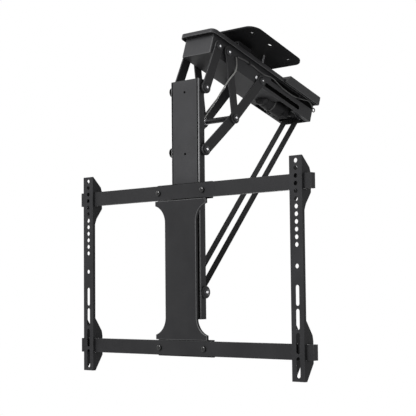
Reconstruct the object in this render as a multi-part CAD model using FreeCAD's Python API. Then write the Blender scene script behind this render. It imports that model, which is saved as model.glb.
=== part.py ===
import FreeCAD, Part
import math
import os

V = FreeCAD.Vector
os.makedirs("parts", exist_ok=True)

# Ceiling plate
PLATE_W, PLATE_L, PLATE_T, PLATE_CORNER = 200.0, 182.0, 4.0, 25.0
BOLT_DX, BOLT_DY, BOLT_HOLE_R = 146.0, 130.0, 4.5
SLOT_X, SLOT_Y, SLOT_LEN = 76.0, -6.0, 14.0

# Beam under the plate, a folded channel with a lid on top
BEAM_HALF, BEAM_T, BEAM_H = 40.0, 2.0, 48.0
BEAM_FRONT, BEAM_REAR, PANEL_END = -143.3, 220.0, 73.0
NECK_H, NECK_HALF, NECK_Y, NECK_T = 27.5, 22.0, -25.0, 2.5
NECK_FOOT_R, NECK_FOOT_H = 42.0, 6.0
LID_T, LID_LIP, LID_HALF, LID_OVER, LID_CORNER = 2.0, 9.0, 49.0, 13.0, 12.0
LID_TOP = -PLATE_T - NECK_H
BEAM_TOP = LID_TOP - LID_T
BEAM_BOTTOM = BEAM_TOP - BEAM_H
POST_Y, POST_INSET, POST_R, NUT_STEP, NUT_R, NUT_H = 28.0, 6.0, 2.5, 15.0, 6.0, 6.0
POST_X = BEAM_HALF - POST_INSET

# Pivots of the folding linkage, (y, z) at rest
PIVOT_A = (-124.0, -58.9)
PIVOT_B = (-95.5, -59.2)
PIVOT_C = (-34.9, -185.4)
PIVOT_D = (27.7, -68.0)
SLIDE = 139.4
SLOT_PLAY = 0.6

# Column, in its own upright frame: y from the face of the television brackets, z from their top hole
LEAN = 18.0
ARM_AT = (-120.5, -341.7)
COL_INSET, COL_FRONT, COL_REAR, COL_TOP, COL_BOTTOM, COL_T = 4.0, 23.5, 43.0, 195.0, -303.0, 2.0
COL_W = 2 * (BEAM_HALF - COL_INSET)
COVER_T, COVER_D = 1.5, 5.5
SCREW_R, SCREW_H, SCREW_DROP = 2.6, 0.8, 7.5
ARM_F = (42.2, 177.2)
ARM_E = (39.9, 47.5)
ARM_G = (37.8, -247.6)

# Link bars and their bolts
LINK_T, LINK_R, LINK_HALF, REAR_LINK_HALF = 3.0, 12.5, 11.5, 10.5
LINK_OFF, LAYER_GAP, SIDE_GAP = 1.0, 0.5, 0.3
BOSS_R, SHAFT_R, RUN = 12.0, 4.0, 0.05
HEAD_R, HEAD_H, ROD_R, GUIDE_R, SLOT_R = 8.0, 2.7, 6.0, 4.3, 5.3
SPACER_R, PIN_NUT_R, PIN_NUT_H = 10.0, 7.2, 4.2
GUIDE_HEAD_R, GUIDE_HEAD_H, GUIDE_GAP = 7.3, 4.5, 0.5

# Lifting belts, drum and motor
DRUM = (189.0, -66.0)
HUB_R, FLANGE_R, FLANGE_T, DRUM_SHAFT_R, DRUM_END = 10.0, 20.0, 1.8, 6.0, 5.7
BELT_W, BELT_T, BELT_X, COIL_T, SPOOL_GAP = 17.5, 1.5, 17.0, 3.0, 0.5
BEARING_HALF, BEARING_LOW, BEARING_T, BEARING_GAP = 16.0, 12.0, 3.0, 1.0
ANCHOR_R, ANCHOR_BOSS_R, BELT_GAP = 5.0, 9.0, 0.3
MOTOR_R, MOTOR_Z, MOTOR_Y0, RING_Y, MOTOR_Y1, GEAR_Y1 = 17.0, -78.0, 82.0, 113.0, 150.0, 166.0
END_CAP_L, RING_T, RING_OUT, GEAR_ARM_R, HANGER_HALF = 10.0, 3.0, 1.5, 11.0, 12.0
PLUG_R, PLUG_LOW = 3.0, 7.0
TRAY_HALF, TRAY_H, TRAY_UP, TRAY_Y0, TRAY_Y1 = 56.0, 20.5, 10.5, 92.3, 221.0
TRAY_SLOPE, TRAY_T, TRAY_GAP = 12.7, 2.0, 0.5
SOCKET_HALF, SOCKET_Z, SOCKET_H, SOCKET_D, SOCKET_RIM, SOCKET_FLOOR = 14.0, -64.0, 18.0, 5.0, 3.0, 1.5
STRIP_GAP, STRIP_IN = 3.0, 8.0

# Television frame: rails, brackets and centre plate
SHIFT = 15.0
RAIL_H, RAIL_D, RAIL_T, RAIL_FRONT, RAIL_L, RAIL_SHIFT = 30.0, 12.0, 2.0, 6.0, 636.0, 2.0
RAIL_TOPS = (-24.5, -346.5)
RAIL_Z = tuple(top - RAIL_H / 2 for top in RAIL_TOPS)
CARRIER_HALF, CARRIER_OVER = 77.0, 2.5
CAP_T, CAP_PLUG = 3.0, 12.0
BRACKET_INSET, BRACKET_W, BRACKET_T, WINDOW_GAP = 28.0, 30.0, 2.0, 0.3
BRACKET_X = RAIL_L / 2 - BRACKET_INSET
BRACKET_TOP, BRACKET_BOTTOM, HOLE_R = 9.7, -416.4, 4.5
HOLE_PITCH, HOLE_COUNT, LONE_HOLE = 14.5, 12, -200.0
SLOTS = (-255.0, -300.0, -345.0, -390.0)
SLOT_L = 39.6
BOLT_X, RAIL_BOLT_R, RAIL_HEAD_R, RAIL_HEAD_H, RAIL_NUT_R, RAIL_NUT_H = 62.0, 3.0, 5.5, 2.6, 5.0, 4.0
WAIST_HALF, WIDE_HALF, WIDE_LEN, WAIST_D, WAIST_T, FLARE = 44.5, 70.5, 11.0, 15.0, 2.0, 36.0
WAIST_SET, WAIST_RIM, WAIST_GAP = 2.0, 5.0, 0.3
STANDOFF_HALF, STANDOFF_H, STANDOFF_IN = 20.0, 20.0, 60.0

# Lead, loose cable and the eye at the rear end
LEAD_R, LEAD_GAP, LOOSE_R = 1.5, 0.4, 1.5
CLIP_HALF, CLIP_ROOM, CLIP_WALL = 2.0, 0.8, 1.0
CLIPS_AT = ((-22.0, -49.05), (160.0, -48.8))
GROMMET_R, GROMMET_T = 3.2, 1.0
EYE_R, EYE_WIRE, EYE_Z = 4.5, 1.2, -49.0


def box(x0, x1, y0, y1, z0, z1):
    return Part.makeBox(x1 - x0, y1 - y0, z1 - z0, V(x0, y0, z0))


def rod(axis, at, steps):
    # Stepped round bar along one axis, steps are (from, to, radius)
    unit = {"x": V(1, 0, 0), "y": V(0, 1, 0), "z": V(0, 0, 1)}[axis]
    place = {"x": V(0, at[0], at[1]), "y": V(at[0], 0, at[1]), "z": V(at[0], at[1], 0)}[axis]
    pieces = [Part.makeCylinder(r, b - a, place + unit * a, unit) for a, b, r in steps]
    return pieces[0].multiFuse(pieces[1:]).removeSplitter() if len(pieces) > 1 else pieces[0]


def head(x, at, radius=HEAD_R, height=HEAD_H):
    # Low domed bolt head that stands out along +X from x
    base = Part.makeCylinder(radius, height * 0.4, V(x, at[0], at[1]), V(1, 0, 0))
    dome = Part.makeCone(radius, radius * 0.6, height * 0.6, V(x + height * 0.4, at[0], at[1]), V(1, 0, 0))
    return base.fuse(dome).removeSplitter()


def both(shape):
    return Part.makeCompound([shape, shape.mirror(V(0, 0, 0), V(1, 0, 0))])


def seat(shape):
    # Carries a piece of the column from its upright frame to its place under the beam
    moved = shape.copy()
    moved.rotate(V(0, 0, 0), V(1, 0, 0), LEAN)
    moved.translate(V(0, ARM_AT[0], ARM_AT[1]))
    return moved


def seat_point(p):
    c, s = math.cos(math.radians(LEAN)), math.sin(math.radians(LEAN))
    return (ARM_AT[0] + p[0] * c - p[1] * s, ARM_AT[1] + p[0] * s + p[1] * c)


def face_yz(points, x0, x1):
    wire = Part.makePolygon([V(x0, y, z) for y, z in points + points[:1]])
    return Part.Face(wire).extrude(V(x1 - x0, 0, 0))


def rounded_plate(x0, x1, y0, y1, z0, z1, corners, radius):
    # Flat plate with the upright edges at its front, its rear or both rounded
    plate = box(x0, x1, y0, y1, z0, z1)
    picked = []
    for e in plate.Edges:
        c = e.CenterOfMass
        if abs(c.z - (z0 + z1) / 2) < 1e-6:
            if ("f" if c.y < (y0 + y1) / 2 else "r") in corners:
                picked.append(e)
    return plate.makeFillet(radius, picked)


def bar(p, q, x0, radius, half):
    # Flat bar between two pivots with round ends
    length = math.hypot(q[0] - p[0], q[1] - p[1])
    n = ((q[1] - p[1]) / length * half, -(q[0] - p[0]) / length * half)
    corners = [(p[0] + n[0], p[1] + n[1]), (q[0] + n[0], q[1] + n[1]),
               (q[0] - n[0], q[1] - n[1]), (p[0] - n[0], p[1] - n[1])]
    ends = [Part.makeCylinder(radius, LINK_T, V(x0, c[0], c[1]), V(1, 0, 0)) for c in (p, q)]
    return face_yz(corners, x0, x0 + LINK_T).multiFuse(ends).removeSplitter()


def bore(shape, at, radius):
    return shape.cut(rod("x", at, [(-PLATE_W, PLATE_W, radius)]))


def slot_tool(axis, cx, cy, cz, length, radius, depth):
    # Round-ended cutter, long along Y in the ceiling plate and along Z in a bracket's face
    half = length / 2 - radius
    if axis == "plate":
        ends = [V(cx, cy - half, cz), V(cx, cy + half, cz)]
        cut, block = V(0, 0, 1), box(cx - radius, cx + radius, cy - half, cy + half, cz, cz + depth)
    else:
        ends = [V(cx, cy, cz - half), V(cx, cy, cz + half)]
        cut, block = V(0, 1, 0), box(cx - radius, cx + radius, cy, cy + depth, cz - half, cz + half)
    return block.multiFuse([Part.makeCylinder(radius, depth, e, cut) for e in ends]).removeSplitter()


def tube_path(points):
    # Straight runs joined by arcs that touch both runs
    pts = [V(*p) for p in points]
    edges, start = [], pts[0]
    for i in range(1, len(pts) - 1):
        a, b, c = pts[i - 1], pts[i], pts[i + 1]
        u, w = (b - a).normalize(), (c - b).normalize()
        turn = math.acos(max(-1.0, min(1.0, u.dot(w))))
        reach = 0.45 * min((b - a).Length, (c - b).Length)
        radius = reach / math.tan(turn / 2)
        p, q = b - u * reach, b + w * reach
        inward = (w - u).normalize()
        middle = b + inward * (radius / math.cos(turn / 2) - radius)
        edges += [Part.LineSegment(start, p).toShape(), Part.Arc(p, middle, q).toShape()]
        start = q
    edges.append(Part.LineSegment(start, pts[-1]).toShape())
    return Part.Wire(edges)


def cable(points, radius):
    path = tube_path(points)
    first = V(*points[1]) - V(*points[0])
    ring = Part.Wire([Part.makeCircle(radius, V(*points[0]), first)])
    solid = path.makePipeShell([ring], True, True)
    want = math.pi * radius ** 2 * path.Length
    print("cable volume against section times length", round(solid.Volume / want, 4))
    return solid


NODES = {}


def save(name, shape):
    NODES[name] = shape
    shape.exportStep("parts/" + name + ".step")


# Layers of the linkage out from the beam, on the +X side
INNER = BEAM_HALF + LINK_OFF
OUTER = INNER + LINK_T + LAYER_GAP
COL_HALF = COL_W / 2
PIVOT_E, PIVOT_F, PIVOT_G = seat_point(ARM_E), seat_point(ARM_F), seat_point(ARM_G)

# Ceiling plate with four bolt holes and two side slots
plate = rounded_plate(-PLATE_W / 2, PLATE_W / 2, -PLATE_L / 2, PLATE_L / 2, -PLATE_T, 0, "fr", PLATE_CORNER)
for sx in (-1, 1):
    for sy in (-1, 1):
        plate = plate.cut(rod("z", (sx * BOLT_DX / 2, sy * BOLT_DY / 2), [(-PLATE_T - 1, 1, BOLT_HOLE_R)]))
    side_slot = slot_tool("plate", sx * SLOT_X, SLOT_Y, -PLATE_T - 1, SLOT_LEN, BOLT_HOLE_R, PLATE_T + 2)
    plate = plate.cut(side_slot)
save("ceiling_plate", plate)

# Square neck that joins the plate to the lid, on a low round foot
neck = box(-NECK_HALF, NECK_HALF, NECK_Y - NECK_HALF, NECK_Y + NECK_HALF, LID_TOP + NECK_FOOT_H, -PLATE_T)
tunnel = box(-NECK_HALF + NECK_T, NECK_HALF - NECK_T, NECK_Y - NECK_HALF - 1, NECK_Y + NECK_HALF + 1,
             LID_TOP + NECK_FOOT_H + NECK_T, -PLATE_T - NECK_T)
save("neck_block", neck.cut(tunnel))
save("neck_foot", rod("z", (0, NECK_Y), [(LID_TOP, LID_TOP + NECK_FOOT_H, NECK_FOOT_R)]))


# Two thin posts behind the neck, and two six-sided nuts on the lid behind them
def nut(x, y, z):
    ring = [V(x + NUT_R * math.cos(math.radians(60 * k)), y + NUT_R * math.sin(math.radians(60 * k)), z)
            for k in range(7)]
    return Part.Face(Part.makePolygon(ring)).extrude(V(0, 0, NUT_H))


save("support_posts", both(rod("z", (POST_X, POST_Y), [(LID_TOP, -PLATE_T, POST_R)])))
save("lid_nuts", both(nut(POST_X, POST_Y + NUT_STEP, LID_TOP)))


# Lid, a shallow tray turned down at its edges
def tray(inset, z0, z1):
    return rounded_plate(-LID_HALF + inset, LID_HALF - inset, BEAM_FRONT - LID_OVER + inset,
                         BEAM_REAR + LID_T - inset, z0, z1, "f", LID_CORNER - inset)


lid = tray(0, LID_TOP - LID_LIP, LID_TOP).cut(tray(LID_T, LID_TOP - LID_LIP - 1, LID_TOP - LID_T))
save("top_lid", lid)

# Beam channel: two slotted flanks, a floor at the front and a lip along each side at the rear
flank = box(BEAM_HALF - BEAM_T, BEAM_HALF, BEAM_FRONT, BEAM_REAR - BEAM_T, BEAM_BOTTOM, BEAM_TOP)
floor = box(-BEAM_HALF + BEAM_T, BEAM_HALF - BEAM_T, BEAM_FRONT + BEAM_T, PANEL_END,
            BEAM_BOTTOM, BEAM_BOTTOM + BEAM_T)
edge_x = BELT_X + BELT_W / 2 + STRIP_GAP
strip = box(edge_x, BEAM_HALF - BEAM_T, GEAR_Y1 - STRIP_IN, BEAM_REAR - BEAM_T,
            BEAM_BOTTOM, BEAM_BOTTOM + BEAM_T)
mirrored = [piece.mirror(V(0, 0, 0), V(1, 0, 0)) for piece in (flank, strip)]
channel = flank.multiFuse([strip, floor] + mirrored).removeSplitter()
for p in (PIVOT_A, PIVOT_B):
    channel = bore(channel, p, SHAFT_R)
slot_ends = (PIVOT_D[0] - SLOT_PLAY, PIVOT_D[0] + SLIDE + SLOT_PLAY)
slot = box(-BEAM_HALF - 1, BEAM_HALF + 1, *slot_ends, PIVOT_D[1] - SLOT_R, PIVOT_D[1] + SLOT_R)
slot = slot.multiFuse([rod("x", (y, PIVOT_D[1]), [(-BEAM_HALF - 1, BEAM_HALF + 1, SLOT_R)])
                       for y in slot_ends])
channel = channel.cut(slot)
save("beam_channel", channel)

# Front and rear panels close the beam's ends
save("front_panel", box(-BEAM_HALF + BEAM_T, BEAM_HALF - BEAM_T, BEAM_FRONT, BEAM_FRONT + BEAM_T,
                        BEAM_BOTTOM, BEAM_TOP))
save("rear_panel", box(-BEAM_HALF, BEAM_HALF, BEAM_REAR - BEAM_T, BEAM_REAR, BEAM_BOTTOM, BEAM_TOP))

# Control box: a wide tray turned upside down over the beam's rear, with a sloping front
tray_top, tray_low = LID_TOP + TRAY_UP, LID_TOP + TRAY_UP - TRAY_H


def tray_block(inset, low):
    outline = [(TRAY_Y0 + inset * 1.2, low), (TRAY_Y0 + TRAY_SLOPE + inset, tray_top - inset),
               (TRAY_Y1 - inset, tray_top - inset), (TRAY_Y1 - inset, low)]
    return face_yz(outline, -TRAY_HALF + inset, TRAY_HALF - inset)


shell = tray_block(0, tray_low).cut(tray_block(TRAY_T, tray_low - 1))
lid_room = box(-LID_HALF - TRAY_GAP, LID_HALF + TRAY_GAP, TRAY_Y0 - 1, TRAY_Y1 + 1, tray_low - 1, LID_TOP)
save("control_box", shell.cut(lid_room))

# Power socket on the rear panel
sock = box(-SOCKET_HALF, SOCKET_HALF, BEAM_REAR, BEAM_REAR + SOCKET_D, SOCKET_Z, SOCKET_Z + SOCKET_H)
hollow = box(-SOCKET_HALF + SOCKET_RIM, SOCKET_HALF - SOCKET_RIM,
             BEAM_REAR + SOCKET_FLOOR, BEAM_REAR + SOCKET_D + 1,
             SOCKET_Z + SOCKET_RIM, SOCKET_Z + SOCKET_H - SOCKET_RIM)
save("power_socket", sock.cut(hollow))


# Pivot bolts at A and B, fixed in the flanks with a spacer under each link
def fixed_bolt(at, face):
    spacer = face - SIDE_GAP
    end = face + LINK_T + SIDE_GAP
    body = rod("x", at, [(BEAM_HALF - BEAM_T - PIN_NUT_H, BEAM_HALF - BEAM_T, PIN_NUT_R),
                         (BEAM_HALF - BEAM_T, BEAM_HALF, SHAFT_R), (BEAM_HALF, spacer, SPACER_R),
                         (spacer, end, SHAFT_R - RUN)])
    return body.fuse(head(end, at)).removeSplitter()


save("pivot_bolts_front", both(fixed_bolt(PIVOT_A, INNER)))
save("pivot_bolts_rear", both(fixed_bolt(PIVOT_B, OUTER)))

# Front link, its lower stud stays in the link because this pivot is the open one
link_front = bore(bore(bar(PIVOT_A, PIVOT_F, INNER, LINK_R, LINK_HALF), PIVOT_A, SHAFT_R), PIVOT_F, SHAFT_R)
save("link_front_right", link_front)
save("link_front_left", link_front.mirror(V(0, 0, 0), V(1, 0, 0)))
stud = rod("x", PIVOT_F, [(INNER, INNER + LINK_T, SHAFT_R)])
save("link_front_studs", both(stud.fuse(head(INNER + LINK_T, PIVOT_F)).removeSplitter()))

# Rear link, outermost
link_rear = bar(PIVOT_B, PIVOT_C, OUTER, LINK_R, REAR_LINK_HALF)
link_rear = bore(bore(link_rear, PIVOT_B, SHAFT_R), PIVOT_C, SHAFT_R)
save("link_rear_right", link_rear)
save("link_rear_left", link_rear.mirror(V(0, 0, 0), V(1, 0, 0)))

# Long link with a slight bend at its middle pivot
upper, lower = [bar(p, q, INNER, LINK_R, LINK_HALF) for p, q in ((PIVOT_D, PIVOT_C), (PIVOT_C, PIVOT_E))]
link_long = upper.fuse(lower).removeSplitter()
for p in (PIVOT_C, PIVOT_D, PIVOT_E):
    link_long = bore(link_long, p, SHAFT_R)
save("link_long_right", link_long)
save("link_long_left", link_long.mirror(V(0, 0, 0), V(1, 0, 0)))

# Cross rod through the middle pivots, the rear links turn on its thin ends
rod_end = OUTER + LINK_T + SIDE_GAP
half_rod = rod("x", PIVOT_C, [(0, INNER, ROD_R), (INNER, INNER + LINK_T, SHAFT_R),
                              (INNER + LINK_T, rod_end, SHAFT_R - RUN)])
half_rod = half_rod.fuse(head(rod_end, PIVOT_C)).removeSplitter()
save("cross_rod", half_rod.fuse(half_rod.mirror(V(0, 0, 0), V(1, 0, 0))).removeSplitter())

# Guide pins that run in the slots of the flanks
guide_in = BEAM_HALF - BEAM_T - GUIDE_GAP
guide = rod("x", PIVOT_D, [(guide_in - GUIDE_HEAD_H, guide_in, GUIDE_HEAD_R), (guide_in, INNER, GUIDE_R),
                           (INNER, INNER + LINK_T, SHAFT_R)])
save("guide_pins", both(guide.fuse(head(INNER + LINK_T, PIVOT_D)).removeSplitter()))

# Column channel, open to the rear, with round ears at its pivots
col = box(-COL_HALF, COL_HALF, COL_FRONT, COL_REAR, COL_BOTTOM, COL_TOP)
col = col.cut(box(-COL_HALF + COL_T, COL_HALF - COL_T, COL_FRONT + COL_T, COL_REAR + 1,
                  COL_BOTTOM - 1, COL_TOP + 1))
ears = []
for p, r in ((ARM_F, BOSS_R), (ARM_E, BOSS_R), (ARM_G, ANCHOR_BOSS_R)):
    for x in (-COL_HALF, COL_HALF - COL_T):
        ears.append(Part.makeCylinder(r, COL_T, V(x, p[0], p[1]), V(1, 0, 0)))
col = col.multiFuse(ears).removeSplitter()
col = bore(bore(bore(col, ARM_F, SHAFT_R), ARM_E, SHAFT_R), ARM_G, ANCHOR_R)
save("column_channel", seat(col))

# Thin cover over the column's front, its sides stop short and leave a step
cover = box(-COL_HALF - COVER_T, COL_HALF + COVER_T, COL_FRONT - COVER_T, COL_FRONT - COVER_T + COVER_D,
            COL_BOTTOM, COL_TOP)
cover = cover.cut(box(-COL_HALF, COL_HALF, COL_FRONT, COL_REAR, COL_BOTTOM - 1, COL_TOP + 1))
save("column_cover", seat(cover))

# Black cap in the column's top end
save("column_cap", seat(box(-COL_HALF + COL_T, COL_HALF - COL_T, COL_FRONT + COL_T, COL_REAR,
                            COL_TOP - COL_T * 1.5, COL_TOP)))

# Two small screws in the cover
col_face = COL_FRONT - COVER_T
screws = [rod("y", (0, arm[1] - SCREW_DROP), [(col_face - SCREW_H, col_face, SCREW_R)])
          for arm in (ARM_F, ARM_E)]
save("cover_screws", seat(Part.makeCompound(screws)))

# Bosses on the column's sides at its two upper pivots
boss_end = INNER - SIDE_GAP
bosses = []
for p in (ARM_F, ARM_E):
    bosses.append(bore(rod("x", p, [(COL_HALF, boss_end, BOSS_R)]), p, SHAFT_R))
bosses += [b.mirror(V(0, 0, 0), V(1, 0, 0)) for b in bosses]
save("pivot_bosses", seat(Part.makeCompound(bosses)))

# Bolts at E carry the long links, pins at F end flush with their bosses
inside = COL_HALF - COL_T
bolt_e = rod("x", ARM_E, [(inside - PIN_NUT_H, inside, PIN_NUT_R), (inside, boss_end, SHAFT_R),
                          (boss_end, INNER + LINK_T + SIDE_GAP, SHAFT_R - RUN)])
bolt_e = bolt_e.fuse(head(INNER + LINK_T + SIDE_GAP, ARM_E)).removeSplitter()
save("column_bolts", seat(both(bolt_e)))
pin_f = rod("x", ARM_F, [(inside - PIN_NUT_H, inside, PIN_NUT_R), (inside, boss_end, SHAFT_R)])
save("column_pins", seat(both(pin_f)))

# Anchor pin across the column for the belts
anchor = rod("x", ARM_G, [(0, COL_HALF, ANCHOR_R), (COL_HALF, INNER, ANCHOR_BOSS_R)])
anchor = anchor.fuse(head(INNER, ARM_G)).removeSplitter()
save("belt_anchor_pin", seat(anchor.fuse(anchor.mirror(V(0, 0, 0), V(1, 0, 0))).removeSplitter()))

# Drum with two spools, and the first turns of belt on it
spool_in, spool_out = BELT_X - BELT_W / 2 - SPOOL_GAP, BELT_X + BELT_W / 2 + SPOOL_GAP
flange_out = spool_out + FLANGE_T
half_drum = rod("x", DRUM, [(0, spool_in, DRUM_SHAFT_R - RUN), (spool_in, spool_out, HUB_R),
                            (spool_out, flange_out, FLANGE_R),
                            (flange_out, flange_out + DRUM_END, DRUM_SHAFT_R - RUN)])
save("belt_drum", half_drum.fuse(half_drum.mirror(V(0, 0, 0), V(1, 0, 0))).removeSplitter())
turns = rod("x", DRUM, [(BELT_X - BELT_W / 2, BELT_X + BELT_W / 2, HUB_R + COIL_T)])
save("belt_turns", both(bore(turns, DRUM, HUB_R)))


# Each belt runs straight from the drum to a loop round the anchor pin
def belt(side):
    top, low = HUB_R + COIL_T + BELT_GAP + BELT_T / 2, ANCHOR_R + BELT_GAP + BELT_T / 2
    dy, dz = PIVOT_G[0] - DRUM[0], PIVOT_G[1] - DRUM[1]
    span = math.hypot(dy, dz)
    along = (top - low) / span
    across = math.sqrt(1 - along ** 2)
    n = (dy / span * along + dz / span * -across, dz / span * along + dy / span * across)
    t0 = (DRUM[0] + n[0] * top, DRUM[1] + n[1] * top)
    t1 = (PIVOT_G[0] + n[0] * low, PIVOT_G[1] + n[1] * low)
    h = BELT_T / 2
    strip = [(t0[0] - n[0] * h, t0[1] - n[1] * h), (t0[0] + n[0] * h, t0[1] + n[1] * h),
             (t1[0] + n[0] * h, t1[1] + n[1] * h), (t1[0] - n[0] * h, t1[1] - n[1] * h)]
    x0, x1 = side * BELT_X - BELT_W / 2, side * BELT_X + BELT_W / 2
    loop = rod("x", PIVOT_G, [(x0, x1, low + h)])
    return bore(face_yz(strip, x0, x1).fuse(loop), PIVOT_G, low - h).removeSplitter()


save("belt_right", belt(1))
save("belt_left", belt(-1))

# Bearing plates hold the drum under the lid
bearing_x = flange_out + BEARING_GAP
bearing = box(bearing_x, bearing_x + BEARING_T, DRUM[0] - BEARING_HALF, DRUM[0] + BEARING_HALF,
              DRUM[1] - BEARING_LOW, BEAM_TOP)
save("drum_bearings", both(bore(bearing, DRUM, DRUM_SHAFT_R)))

# Motor along the beam, gearbox with a narrow arm that reaches the drum shaft
motor_at = (0, MOTOR_Z)
cap_end, ring_end = MOTOR_Y0 + END_CAP_L, RING_Y + RING_T
save("motor_end_cap", rod("y", motor_at, [(MOTOR_Y0, cap_end, MOTOR_R - 1)]))
save("motor_body", Part.makeCompound([rod("y", motor_at, [(cap_end, RING_Y, MOTOR_R)]),
                                      rod("y", motor_at, [(ring_end, MOTOR_Y1, MOTOR_R)])]))
save("motor_flange", rod("y", motor_at, [(RING_Y, ring_end, MOTOR_R + RING_OUT)]))
gear = box(-MOTOR_R + 1, MOTOR_R - 1, MOTOR_Y1, GEAR_Y1, MOTOR_Z - MOTOR_R + 1, MOTOR_Z + MOTOR_R)
arm_half = spool_in - 0.7
arm = face_yz([(GEAR_Y1 - 1, MOTOR_Z - 8), (DRUM[0], DRUM[1] - GEAR_ARM_R), (DRUM[0], DRUM[1] + GEAR_ARM_R),
               (GEAR_Y1 - 1, MOTOR_Z + 16)], -arm_half, arm_half)
arm = arm.fuse(rod("x", DRUM, [(-arm_half, arm_half, GEAR_ARM_R)]))
save("gearbox", bore(gear.fuse(arm).removeSplitter(), DRUM, DRUM_SHAFT_R))
save("motor_hanger", box(-HANGER_HALF, HANGER_HALF, MOTOR_Y1 + 2, GEAR_Y1 - 1, MOTOR_Z + MOTOR_R, BEAM_TOP))
plug_at = (0, RING_Y + RING_T / 2)
plug_top = MOTOR_Z - MOTOR_R - RING_OUT
save("motor_plug", rod("z", plug_at, [(MOTOR_Z - MOTOR_R - PLUG_LOW, plug_top, PLUG_R)]))

# Lead along the beam's right flank, it hangs a little between its clips
lead_x = BEAM_HALF + LEAD_R + LEAD_GAP
LEAD = [(-61.5, -53.4), (-40, -49.5), (-5, -48.6), (28, -52.8), (60, -43.8),
        (97, -52.3), (143, -52.9), (178, -44.5), (201, -37.2), (218.5, -50)]
save("lead_cable", cable([(lead_x, y, z) for y, z in LEAD], LEAD_R))


def clip(y, z):
    # Two short arms and a bar that hold the lead against the flank
    room = LEAD_R + CLIP_ROOM
    high, out = room + CLIP_WALL + 0.2, lead_x + room
    body = box(BEAM_HALF, out + CLIP_WALL, y - CLIP_HALF, y + CLIP_HALF, z - high, z + high)
    return body.cut(box(BEAM_HALF, out, y - CLIP_HALF - 1, y + CLIP_HALF + 1, z - room, z + room))


clips = [body for at in CLIPS_AT for body in clip(*at).Solids]
save("cable_clips", Part.makeCompound(clips))

# Loose cable from the beam to the inside of the column
LOOSE = [(BEAM_HALF + 2.7, -66.2, -56.6), (BEAM_HALF + 6.5, -62.5, -74), (BEAM_HALF + 11.5, -68, -94),
         (BEAM_HALF + 11.5, -79, -112), (BEAM_HALF + 5, -88.5, -143), (COL_HALF, -94, -176),
         (COL_HALF - 10.5, -103, -210), (COL_HALF - 12.5, -111, -238)]
save("sensor_cable", cable(LOOSE, LOOSE_R))
save("cable_grommets", rod("x", LOOSE[0][1:], [(BEAM_HALF, BEAM_HALF + GROMMET_T, GROMMET_R)]))

# Eye at the beam's rear end that the lead passes
eye_at = V(BEAM_HALF - BEAM_T, BEAM_REAR + EYE_R + EYE_WIRE, EYE_Z)
save("rear_eye", Part.makeTorus(EYE_R, EYE_WIRE, eye_at, V(1, 0, 0)))

# Two rails and the carriers that hold them on the column
carriers, rails, caps, bolts = [], [], [], []
rail_x0, rail_x1 = SHIFT + RAIL_SHIFT - RAIL_L / 2, SHIFT + RAIL_SHIFT + RAIL_L / 2
rail_back = RAIL_FRONT + RAIL_D
for z in RAIL_Z:
    lo, hi = z - RAIL_H / 2, z + RAIL_H / 2
    r = box(rail_x0, rail_x1, RAIL_FRONT, rail_back, lo, hi)
    room = (RAIL_FRONT + RAIL_T, rail_back - RAIL_T, lo + RAIL_T, hi - RAIL_T)
    r = r.cut(box(rail_x0 - 1, rail_x1 + 1, *room))
    carrier = box(-CARRIER_HALF, CARRIER_HALF, rail_back, col_face, lo - CARRIER_OVER, hi + CARRIER_OVER)
    for sx in (-1, 1):
        hole = rod("y", (sx * BOLT_X, z), [(RAIL_FRONT - 1, col_face + 1, RAIL_BOLT_R)])
        r, carrier = r.cut(hole), carrier.cut(hole)
        bolts.append(rod("y", (sx * BOLT_X, z), [(RAIL_FRONT - RAIL_HEAD_H, RAIL_FRONT, RAIL_HEAD_R),
                                                 (RAIL_FRONT, col_face, RAIL_BOLT_R),
                                                 (col_face, col_face + RAIL_NUT_H, RAIL_NUT_R)]))
    rails.append(r)
    carriers.append(carrier)
    for x, out in ((rail_x0, -1), (rail_x1, 1)):
        plug = box(*sorted((x, x - out * CAP_PLUG)), *room)
        cap = box(*sorted((x, x + out * CAP_T)), RAIL_FRONT, rail_back, lo, hi)
        caps.append(cap.fuse(plug).removeSplitter())
save("rail_upper", seat(rails[0]))
save("rail_lower", seat(rails[1]))
save("rail_carriers", seat(Part.makeCompound(carriers)))
save("rail_end_caps", seat(Part.makeCompound(caps)))
save("rail_bolts", seat(Part.makeCompound(bolts)))

# Centre plate between the rails, narrow in the middle with flared ends
plate_top = RAIL_Z[0] - RAIL_H / 2 - CARRIER_OVER - WAIST_GAP
plate_low = RAIL_Z[1] + RAIL_H / 2 + CARRIER_OVER + WAIST_GAP
curve = ((WIDE_HALF - WAIST_HALF) ** 2 + FLARE ** 2) / (2 * (WIDE_HALF - WAIST_HALF))


def waist(inset, y, top, low):
    # Outline of the centre plate moved inwards by inset
    half, wide = WAIST_HALF - inset, WIDE_HALF - inset
    cx, radius = WAIST_HALF + curve, curve + inset
    za, zb = plate_top - WIDE_LEN - FLARE, plate_low + WIDE_LEN + FLARE
    rise = math.sqrt(max(radius ** 2 - (cx - wide) ** 2, 0.0))
    edges = []
    side = [V(wide, y, top), V(wide, y, za + rise), V(half, y, za), V(half, y, zb), V(wide, y, zb - rise),
            V(wide, y, low)]
    ang = math.asin(rise / radius) / 2
    mids = [V(cx - radius * math.cos(ang), y, za + radius * math.sin(ang)),
            V(cx - radius * math.cos(ang), y, zb - radius * math.sin(ang))]
    flip = lambda p: V(-p.x, p.y, p.z)
    for f in (lambda p: p, flip):
        s, m = [f(p) for p in side], [f(p) for p in mids]
        edges += [Part.LineSegment(s[0], s[1]).toShape(), Part.Arc(s[1], m[0], s[2]).toShape(),
                  Part.LineSegment(s[2], s[3]).toShape(), Part.Arc(s[3], m[1], s[4]).toShape(),
                  Part.LineSegment(s[4], s[5]).toShape()]
    edges += [Part.LineSegment(end, flip(end)).toShape() for end in (side[0], side[5])]
    return Part.Face(Part.Wire(Part.__sortEdges__(edges)))


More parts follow.
